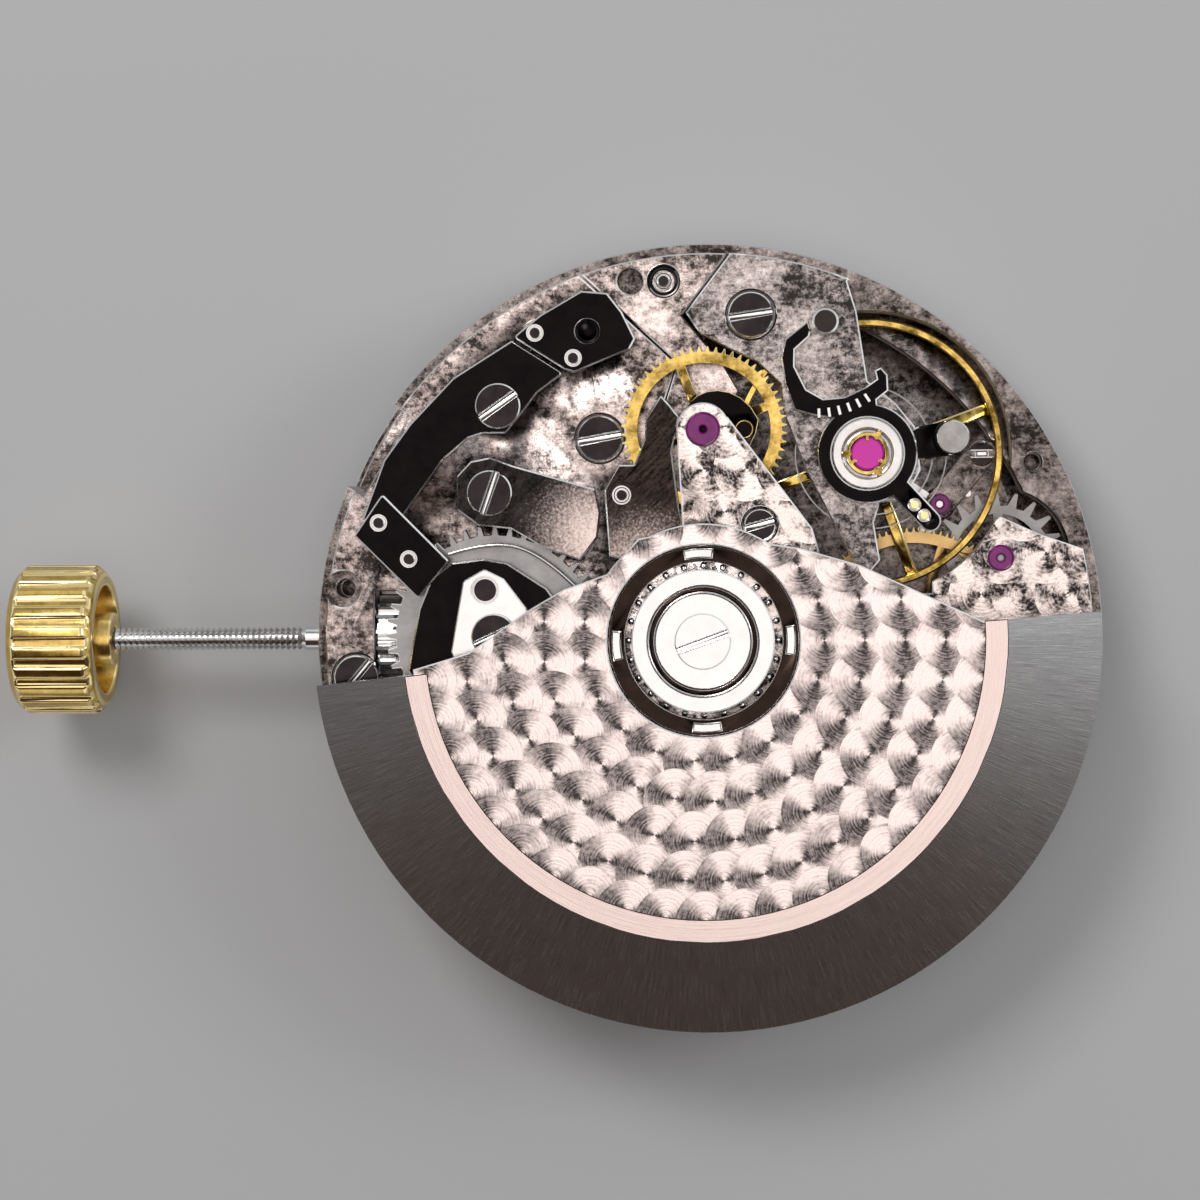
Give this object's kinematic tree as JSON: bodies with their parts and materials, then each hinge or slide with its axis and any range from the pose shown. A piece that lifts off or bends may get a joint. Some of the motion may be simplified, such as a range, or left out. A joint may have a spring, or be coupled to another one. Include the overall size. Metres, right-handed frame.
{
  "type": "mechanical watch movement",
  "caption": "Automatic chronograph watch movement, seen from the bridge side, with its stem and gold crown fitted.",
  "frame": {"origin": "middle of the movement on its dial seat", "axes": "+Z from the dial seat to the bridge side, the stem leaves along -X, +Y towards the minute counter"},
  "size_m": [0.0421, 0.0304, 0.0091],
  "materials": {
    "plate_metal": "spotted nickel-plated brass",
    "bridge_metal": "spotted nickel-plated brass",
    "black_steel": "black polished",
    "steel": "polished",
    "gold": "gilt, polished",
    "train_brass": "gilt",
    "rotor_steel": "circular brushed",
    "ruby": "polished ruby",
    "date_paint": "matt",
    "blue_grey": "fine ground"
  },
  "bodies": {
    "movement": {"main_plate": "plate_metal", "barrel_bridge": "bridge_metal", "train_bridge": "bridge_metal", "chronograph_plate": "bridge_metal", "balance_cock": "bridge_metal", "automatic_bridge": "bridge_metal", "pallet_bridge": "plate_metal", "calendar_plate": "plate_metal", "jewels": "ruby", "slotted_screws": "steel", "pins": "steel", "shock_setting": "steel", "shock_spring": "gold", "stud_carrier": "black_steel", "hairspring": "blue_grey", "lever_end_plate": "black_steel", "hammer_spring_plate": "black_steel", "lever_retaining_plate": "black_steel", "winding_cover": "black_steel", "click_plate": "steel", "wire_spring": "steel", "bearing_inner_race": "steel"},
    "rotor": {"rotor_plate": "bridge_metal", "rotor_weight": "rotor_steel", "bearing_outer_race": "black_steel"},
    "ball_cage": {"bearing_balls": "steel"},
    "stem_and_crown": {"stem": "steel", "crown": "gold"},
    "barrel_drum": {"barrel": "train_brass", "mainspring": "steel"},
    "click_lever": {"click": "steel"},
    "index": {"regulator_index": "black_steel"},
    "barrel_arbor": {"barrel_arbor": "steel", "ratchet_wheel": "steel"},
    "crown_wheel_body": {"crown_wheel": "blue_grey"},
    "winding_pinion_body": {"winding_pinion": "steel"},
    "sliding_pinion_body": {"sliding_pinion": "steel"},
    "setting_lever_body": {"setting_lever": "steel"},
    "yoke_body": {"yoke": "steel"},
    "setting_wheel_body": {"setting_wheel": "steel"},
    "intermediate_setting_wheel_body": {"intermediate_setting_wheel": "steel"},
    "second_wheel_body": {"second_wheel": "train_brass"},
    "third_wheel_body": {"third_wheel": "train_brass"},
    "seconds_wheel_body": {"seconds_wheel": "train_brass"},
    "escape_wheel_body": {"escape_wheel": "steel"},
    "pallet_fork_body": {"pallet_fork": "steel"},
    "balance_wheel_body": {"balance_wheel": "gold"},
    "minute_wheel_body": {"minute_wheel": "train_brass"},
    "cannon_pinion_body": {"cannon_pinion": "steel"},
    "hour_wheel_body": {"hour_wheel": "train_brass"},
    "date_ring_body": {"date_ring": "date_paint"},
    "date_driving_wheel_body": {"date_driving_wheel": "train_brass"},
    "chronograph_wheel_body": {"chronograph_wheel": "train_brass"},
    "minute_counter_wheel_body": {"minute_counter_wheel": "gold"},
    "minute_counter_idler_body": {"minute_counter_idler": "train_brass"},
    "oscillating_pinion_body": {"oscillating_pinion": "steel"},
    "reset_hammer_body": {"reset_hammer": "black_steel"},
    "operating_lever_body": {"operating_lever": "black_steel"},
    "reversing_wheel_body": {"reversing_wheel": "train_brass"},
    "reversing_pinion_body": {"reversing_pinion": "steel"}
  },
  "joints": [
    {"name": "seconds_spin", "type": "hinge", "parent": "movement", "child": "seconds_wheel_body", "pos_m": [0.0079, 0, 0.003], "axis": [0, 0, 1], "continuous": true},
    {"name": "third_spin", "type": "hinge", "parent": "movement", "child": "third_wheel_body", "pos_m": [0.0063, -0.0042, 0.003], "axis": [0, 0, 1], "continuous": true},
    {"name": "second_spin", "type": "hinge", "parent": "movement", "child": "second_wheel_body", "pos_m": [0.0012, -0.00645, 0.003], "axis": [0, 0, 1], "continuous": true},
    {"name": "barrel_spin", "type": "hinge", "parent": "movement", "child": "barrel_drum", "pos_m": [-0.00439, -0.0072, 0.003], "axis": [0, 0, 1], "continuous": true},
    {"name": "escape_spin", "type": "hinge", "parent": "movement", "child": "escape_wheel_body", "pos_m": [0.01115, 0.00297, 0.003], "axis": [0, 0, 1], "continuous": true},
    {"name": "minute_spin", "type": "hinge", "parent": "movement", "child": "minute_wheel_body", "pos_m": [0.00127, -0.0031, 0.0012], "axis": [0, 0, 1], "continuous": true},
    {"name": "cannon_spin", "type": "hinge", "parent": "movement", "child": "cannon_pinion_body", "pos_m": [0, 0, 0.0012], "axis": [0, 0, 1], "continuous": true},
    {"name": "hour_spin", "type": "hinge", "parent": "movement", "child": "hour_wheel_body", "pos_m": [0, 0, 0.0008], "axis": [0, 0, 1], "continuous": true},
    {"name": "date_drive_spin", "type": "hinge", "parent": "movement", "child": "date_driving_wheel_body", "pos_m": [-0.00405, 0.00405, 0.0005], "axis": [0, 0, 1], "continuous": true},
    {"name": "intermediate_spin", "type": "hinge", "parent": "movement", "child": "intermediate_setting_wheel_body", "pos_m": [-0.00369, -0.00229, 0.0012], "axis": [0, 0, 1], "continuous": true},
    {"name": "setting_spin", "type": "hinge", "parent": "movement", "child": "setting_wheel_body", "pos_m": [-0.00753, -0.00101, 0.0012], "axis": [0, 0, 1], "continuous": true},
    {"name": "clutch_spin", "type": "hinge", "parent": "movement", "child": "oscillating_pinion_body", "pos_m": [0.00376, 0.00173, 0.003], "axis": [0, 0, 1], "continuous": true},
    {"name": "crown_turn", "type": "hinge", "parent": "movement", "child": "winding_pinion_body", "pos_m": [-0.012, 0, 0.0032], "axis": [1, 0, 0], "continuous": true},
    {"name": "crown_wheel_spin", "type": "hinge", "parent": "movement", "child": "crown_wheel_body", "pos_m": [-0.008, 0.00015, 0.005], "axis": [0, 0, 1], "continuous": true},
    {"name": "ratchet_spin", "type": "hinge", "parent": "movement", "child": "barrel_arbor", "pos_m": [-0.00439, -0.0072, 0.003], "axis": [0, 0, 1], "continuous": true},
    {"name": "reversing_pinion_spin", "type": "hinge", "parent": "movement", "child": "reversing_pinion_body", "pos_m": [0.0008, -0.0057, 0.005], "axis": [0, 0, 1], "continuous": true},
    {"name": "stem_pull", "type": "slide", "parent": "winding_pinion_body", "child": "stem_and_crown", "axis": [-1, 0, 0], "range_m": [0, 0.0009]},
    {"name": "sliding_pinion_shift", "type": "slide", "parent": "winding_pinion_body", "child": "sliding_pinion_body", "axis": [1, 0, 0], "range_m": [0, 0.0008]},
    {"name": "setting_lever_turn", "type": "hinge", "parent": "movement", "child": "setting_lever_body", "pos_m": [-0.01367, -0.0022, 0.0011], "axis": [0, 0, 1], "range_deg": [0, 23.12]},
    {"name": "yoke_turn", "type": "hinge", "parent": "movement", "child": "yoke_body", "pos_m": [-0.01027, -0.0026, 0.0011], "axis": [0, 0, -1], "range_deg": [0, 17.49]},
    {"name": "rotor_spin", "type": "hinge", "parent": "movement", "child": "rotor", "pos_m": [0, 0, 0.007], "axis": [0, 0, 1], "continuous": true},
    {"name": "ball_cage_spin", "type": "hinge", "parent": "movement", "child": "ball_cage", "pos_m": [0, 0, 0.0068], "axis": [0, 0, 1], "continuous": true},
    {"name": "reversing_wheel_spin", "type": "hinge", "parent": "movement", "child": "reversing_wheel_body", "pos_m": [0.0008, -0.0057, 0.0066], "axis": [0, 0, 1], "continuous": true},
    {"name": "chronograph_spin", "type": "hinge", "parent": "movement", "child": "chronograph_wheel_body", "pos_m": [0, 0, 0.003], "axis": [0, 0, 1], "continuous": true},
    {"name": "idler_spin", "type": "hinge", "parent": "movement", "child": "minute_counter_idler_body", "pos_m": [0, 0.003, 0.0055], "axis": [0, 0, 1], "continuous": true},
    {"name": "minute_counter_spin", "type": "hinge", "parent": "movement", "child": "minute_counter_wheel_body", "pos_m": [0, 0.0079, 0.003], "axis": [0, 0, 1], "continuous": true},
    {"name": "balance_swing", "type": "hinge", "parent": "movement", "child": "balance_wheel_body", "pos_m": [0.00615, 0.00694, 0.003], "axis": [0, 0, 1], "range_deg": [-270, 270]},
    {"name": "pallet_rock", "type": "hinge", "parent": "movement", "child": "pallet_fork_body", "pos_m": [0.00891, 0.00501, 0.003], "axis": [0, 0, 1], "range_deg": [-3, 3]},
    {"name": "index_turn", "type": "hinge", "parent": "movement", "child": "index", "pos_m": [0.00615, 0.00694, 0.0055], "axis": [0, 0, 1], "range_deg": [-1, 1]},
    {"name": "date_ring_turn", "type": "hinge", "parent": "movement", "child": "date_ring_body", "pos_m": [0, 0, 0.0003], "axis": [0, 0, 1], "continuous": true},
    {"name": "lever_turn", "type": "hinge", "parent": "movement", "child": "operating_lever_body", "pos_m": [-0.00777, 0.00886, 0.0055], "axis": [0, 0, 1], "range_deg": [0, 2]},
    {"name": "hammer_turn", "type": "hinge", "parent": "movement", "child": "reset_hammer_body", "pos_m": [-0.00311, 0.00546, 0.0058], "axis": [0, 0, 1], "range_deg": [0, 2]},
    {"name": "click_turn", "type": "hinge", "parent": "movement", "child": "click_lever", "pos_m": [-0.00915, -0.0093, 0.005], "axis": [0, 0, 1], "range_deg": [0, 12]}
  ],
  "couplings": [
    {"joint": "third_spin", "follows": "seconds_spin", "ratio": -0.13333},
    {"joint": "second_spin", "follows": "seconds_spin", "ratio": 0.016667},
    {"joint": "barrel_spin", "follows": "seconds_spin", "ratio": -0.002381},
    {"joint": "escape_spin", "follows": "seconds_spin", "ratio": -12},
    {"joint": "minute_spin", "follows": "seconds_spin", "ratio": -0.0055556},
    {"joint": "cannon_spin", "follows": "seconds_spin", "ratio": 0.016667},
    {"joint": "hour_spin", "follows": "seconds_spin", "ratio": 0.0013889},
    {"joint": "date_drive_spin", "follows": "seconds_spin", "ratio": -0.00069444},
    {"joint": "intermediate_spin", "follows": "seconds_spin", "ratio": 0.0055556},
    {"joint": "setting_spin", "follows": "seconds_spin", "ratio": -0.0090909},
    {"joint": "clutch_spin", "follows": "seconds_spin", "ratio": -9.6},
    {"joint": "crown_wheel_spin", "follows": "crown_turn", "ratio": 0.40909},
    {"joint": "ratchet_spin", "follows": "crown_turn", "ratio": -0.4},
    {"joint": "reversing_pinion_spin", "follows": "crown_turn", "ratio": 1.2857},
    {"joint": "sliding_pinion_shift", "follows": "stem_pull", "ratio": 0.88889},
    {"joint": "setting_lever_turn", "follows": "stem_pull", "rad_per_m": 448.36},
    {"joint": "yoke_turn", "follows": "stem_pull", "rad_per_m": 339.22},
    {"joint": "reversing_wheel_spin", "follows": "rotor_spin", "ratio": -1.7778},
    {"joint": "ball_cage_spin", "follows": "rotor_spin", "ratio": 0.52491},
    {"joint": "idler_spin", "follows": "chronograph_spin", "ratio": -0.055556},
    {"joint": "minute_counter_spin", "follows": "chronograph_spin", "ratio": 0.033333}
  ]
}
